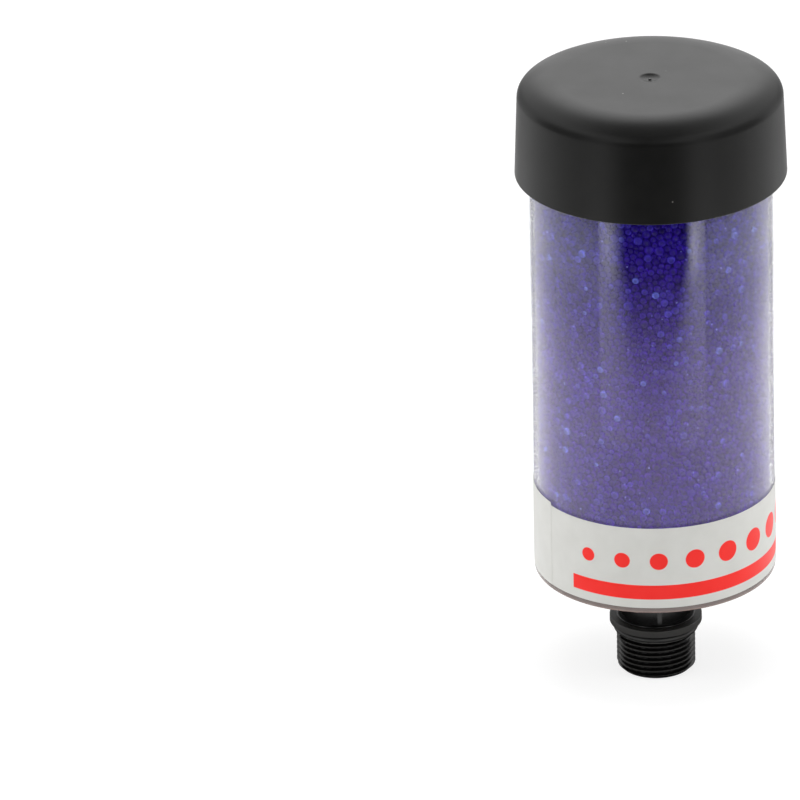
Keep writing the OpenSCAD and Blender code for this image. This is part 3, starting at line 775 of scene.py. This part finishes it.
dim = add(tree, "Mix", {0: in_front, 2: side_part, 3: front_dim})
slant = add(tree, "Math", {0: ahead, 1: aside}, operation="DIVIDE")
slantwise = between(tree, slant, 1.1, 2.2, 0.5, unit=1)
behind = add(tree, "MapRange", {"Value": slantwise, "To Min": 1.0, "To Max": 0.52})
bright_part = add(tree, "Math", {0: open_air, 1: dim}, operation="MULTIPLY")
bright_part = add(tree, "Math", {0: bright_part, 1: behind}, operation="MULTIPLY")
side_light = add(tree, "MapRange", {"Value": aside, "From Min": 120 * MM, "From Max": 300 * MM,
                                    "To Min": 0.72, "To Max": 1.05}, interpolation_type="SMOOTHSTEP")
matt = add(tree, "BsdfDiffuse", {"Color": colour("#cfcfcf")})
mirrored_glow = add(tree, "Emission", {"Color": WHITE, "Strength": side_light})
mirrored_lit = add(tree, "AddShader", {0: matt, 1: mirrored_glow})
shadow = add(tree, "Emission", {"Color": WHITE, "Strength": 0.02})
mirrored = add(tree, "MixShader", {0: bright_part, 1: shadow, 2: mirrored_lit})
in_mirror = add(tree, "Math", {0: path["Is Glossy Ray"], 1: path["Is Transmission Ray"]},
                operation="MAXIMUM")
other = add(tree, "MixShader", {0: in_mirror, 1: matt, 2: mirrored})
pale = add(tree, "BsdfDiffuse", {"Color": colour("#9a9a9a")})
glow = add(tree, "Emission", {"Color": WHITE, "Strength": 0.75})
lit = add(tree, "AddShader", {0: pale, 1: glow})
shown = add(tree, "MixShader", {0: path["Is Camera Ray"], 1: other, 2: lit})
beneath = add(tree, "BsdfTransparent")
under_side = add(tree, "NewGeometry").outputs["Backfacing"]
one_sided = add(tree, "MixShader", {0: under_side, 1: shown, 2: beneath})
add(tree, "OutputMaterial", {"Surface": one_sided})
table.data.materials.append(white_table)


def mirror_card(name, corners, material):
    """Sheet that is seen only in reflections and lights nothing."""
    piece = card(name, corners)
    piece.data.materials.append(material)
    piece.visible_camera = False
    piece.visible_diffuse = False
    piece.visible_shadow = False


def upright(left, right, distance, low, high):
    """Corners of an upright sheet before the breather, between two directions from straight ahead."""
    a = np.radians([left, right])
    x, y = distance * np.sin(a), -distance * np.cos(a)
    return [(x[0], y[0], low), (x[1], y[1], low), (x[1], y[1], high), (x[0], y[0], high)]


def graded_light(name, across, up):
    """White light that changes with the distance from the middle and with the height.

    Each is a smooth step (start, end, strength before, strength after) in millimetres. The two multiply.
    """
    material, tree, place = new_material(name)
    axis = add(tree, "SeparateXYZ", {"Vector": place}).outputs
    aside = add(tree, "Math", {0: axis["X"]}, operation="ABSOLUTE")
    level = 1.0
    for value, (start, end, before, after) in ((aside, across), (axis["Z"], up)):
        step = add(tree, "MapRange", {"Value": value, "From Min": start * MM, "From Max": end * MM,
                                      "To Min": before, "To Max": after}, interpolation_type="SMOOTHSTEP")
        level = add(tree, "Math", {0: level, 1: step}, operation="MULTIPLY")
    light = add(tree, "Emission", {"Color": WHITE, "Strength": level})
    add(tree, "OutputMaterial", {"Surface": light})
    return material


def even_light(name, strength):
    """White light of one strength all over."""
    material, tree, _ = new_material(name)
    light = add(tree, "Emission", {"Color": WHITE, "Strength": strength})
    add(tree, "OutputMaterial", {"Surface": light})
    return material


def flap_light(name, faint, full, peak):
    """Light of a flap, which fades in from one distance off the middle to another, in millimetres.

    These hold high up, and towards the foot the edge is further out of focus. A flap is as bright as the
    table at its outer edge, brightest high up by the opening, and dim above that.
    """
    material, tree, place = new_material(name)
    axis = add(tree, "SeparateXYZ", {"Vector": place}).outputs
    aside = add(tree, "Math", {0: axis["X"]}, operation="ABSOLUTE")
    high_up = add(tree, "MapRange", {"Value": axis["Z"], "From Min": 71 * MM, "From Max": 95 * MM},
                  interpolation_type="SMOOTHSTEP")
    by_opening = add(tree, "MapRange", {"Value": aside, "From Min": 246 * MM, "From Max": 190 * MM},
                     interpolation_type="SMOOTHSTEP")
    brightest = add(tree, "Math", {0: high_up, 1: by_opening}, operation="MULTIPLY")
    level = add(tree, "MapRange", {"Value": brightest, "To Min": 1.95, "To Max": peak})
    above = add(tree, "MapRange", {"Value": axis["Z"], "From Min": 100 * MM, "From Max": 130 * MM,
                                   "To Min": level, "To Max": 0.8})
    light = add(tree, "Emission", {"Color": WHITE, "Strength": above})
    foot_up = {"Value": axis["Z"], "From Min": 30 * MM, "From Max": 93 * MM}
    low = add(tree, "MapRange", {**foot_up, "To Min": 28 * MM, "To Max": faint * MM})
    high = add(tree, "MapRange", {**foot_up, "To Min": 232 * MM, "To Max": full * MM})
    solid = add(tree, "MapRange", {"Value": aside, "From Min": low, "From Max": high},
                interpolation_type="SMOOTHSTEP")
    gone = add(tree, "BsdfTransparent")
    both = add(tree, "MixShader", {0: solid, 1: gone, 2: light})
    add(tree, "OutputMaterial", {"Surface": both})
    return material


mirror_card("dim_room", upright(-31, 31, 2500, -2200, 2200), even_light("dim_room", 0.02))
mirror_card("flap_left", upright(-48, -8, 330, 0, 1000), flap_light("left_flap", 118, 216, 3.1))
mirror_card("flap_right", upright(8, 48, 330, 0, 1000), flap_light("right_flap", 150, 194, 3.5))
mirror_card("dim_side_left", upright(-105, -47, 1400, 0, 1300), even_light("dim_side_left", 0.3))
mirror_card("dim_side_right", upright(47, 105, 1400, 0, 1300), even_light("dim_side_right", 0.3))
# The ceiling is dark over the opening and paler to the sides. The wall behind is lit in its middle and
# high up. A small bright card before the stem gives its neck a highlight.
mirror_card("dim_ceiling", level_sheet(2500, -2500, CEILING_BACK, CEILING_Z),
            graded_light("dim_ceiling", (150, 600, 0.03, 1.1), (0, CEILING_Z, 1.0, 1.0)))
mirror_card("back_wall", [(-TABLE_HALF, TABLE_BACK, 0), (TABLE_HALF, TABLE_BACK, 0),
                          (TABLE_HALF, TABLE_BACK, 2000), (-TABLE_HALF, TABLE_BACK, 2000)],
            graded_light("back_wall", (350, 600, 1.0, 0.4), (450, 950, 1.1, 2.32)))
mirror_card("catch_light", upright(4.4, 15.1, 45, 12.5, 35), even_light("catch_light", 1.1))

# Three softboxes light the breather but don't show in its reflections, and the white world fills in.
LAMPS_AIM = np.array([0, 0, 150.0])
for name, place_mm, size_mm, watts in (
        ("left_softbox", (-1100, -350, 900), 700, 7.0),
        ("right_softbox", (1100, -350, 900), 700, 7.0),
        ("top_softbox", (0, 100, 1500), 1000, 9.0)):
    lamp = bpy.data.lights.new(name, "AREA")
    lamp.shape = "SQUARE"
    lamp.size = size_mm * MM
    lamp.energy = watts
    lamp_object = bpy.data.objects.new(name, lamp)
    back = place_mm - LAMPS_AIM
    back /= np.linalg.norm(back)
    right = np.cross((0, 1, 0), back)
    right /= np.linalg.norm(right)
    turn = np.stack([right, np.cross(back, right), back], 1)
    lamp_object.matrix_world = Matrix.Translation(np.array(place_mm) * MM) @ Matrix(turn).to_4x4()
    lamp_object.visible_glossy = False
    scene.collection.objects.link(lamp_object)

world = bpy.data.worlds.new("white_studio")
scene.world = world
world.use_nodes = True
tree = world.node_tree
tree.nodes.clear()
path = add(tree, "LightPath").outputs
seen = path["Is Camera Ray"]
for ray_kind in ("Is Glossy Ray", "Is Transmission Ray"):
    seen = add(tree, "Math", {0: seen, 1: path[ray_kind]}, operation="MAXIMUM")
fill_light = add(tree, "Background", {"Color": WHITE, "Strength": 0.55})
white = add(tree, "Background", {"Color": WHITE, "Strength": 1.0})
sky = add(tree, "MixShader", {0: seen, 1: fill_light, 2: white})
add(tree, "OutputWorld", {"Surface": sky})
scene.view_settings.view_transform = "Standard"

# Camera
# It stands in front, 26 degrees above the table, far off with a long lens, and looks past the
# breather so that it comes to the right of the picture.
IMAGE_SIDE, FOCAL_PX, SENSOR = 800, 10353.99, 36.0
ELEVATION, ROLL, DISTANCE = np.radians(25.838), np.radians(0.619), 4375.76
AIM_HEIGHT, AIM_PIXEL = 37.806, np.array([655.4, 582.883])
back = np.array([0, -np.cos(ELEVATION), np.sin(ELEVATION)])
right = np.array([1.0, 0, 0])
level = np.stack([right, np.cross(back, right), back])
offset = (AIM_PIXEL - IMAGE_SIDE / 2) / FOCAL_PX
ray = np.array([offset[0], -offset[1], -1.0])
ray /= np.linalg.norm(ray)
# The pan turns straight ahead to the ray through the aim's pixel: one, plus the skew of their cross
# product, plus the skew's square over one plus their cosine.
swing = np.cross([0, 0, -1.0], ray)
skew = np.array([[0, -swing[2], swing[1]], [swing[2], 0, -swing[0]], [-swing[1], swing[0], 0]])
pan = np.eye(3) + skew + skew @ skew / (1 - ray[2])
roll = np.array([[np.cos(ROLL), -np.sin(ROLL), 0], [np.sin(ROLL), np.cos(ROLL), 0], [0, 0, 1]])
to_camera = pan @ roll @ level
lens = bpy.data.cameras.new("camera")
lens.sensor_width = SENSOR
lens.lens = FOCAL_PX * SENSOR / IMAGE_SIDE
lens.clip_start, lens.clip_end = 0.1, 100.0
camera = bpy.data.objects.new("camera", lens)
stand = (back * DISTANCE + np.array([0, 0, AIM_HEIGHT])) * MM
camera.matrix_world = Matrix.Translation(stand) @ Matrix(to_camera.T).to_4x4()
scene.collection.objects.link(camera)
scene.camera = camera

bpy.context.view_layer.update()
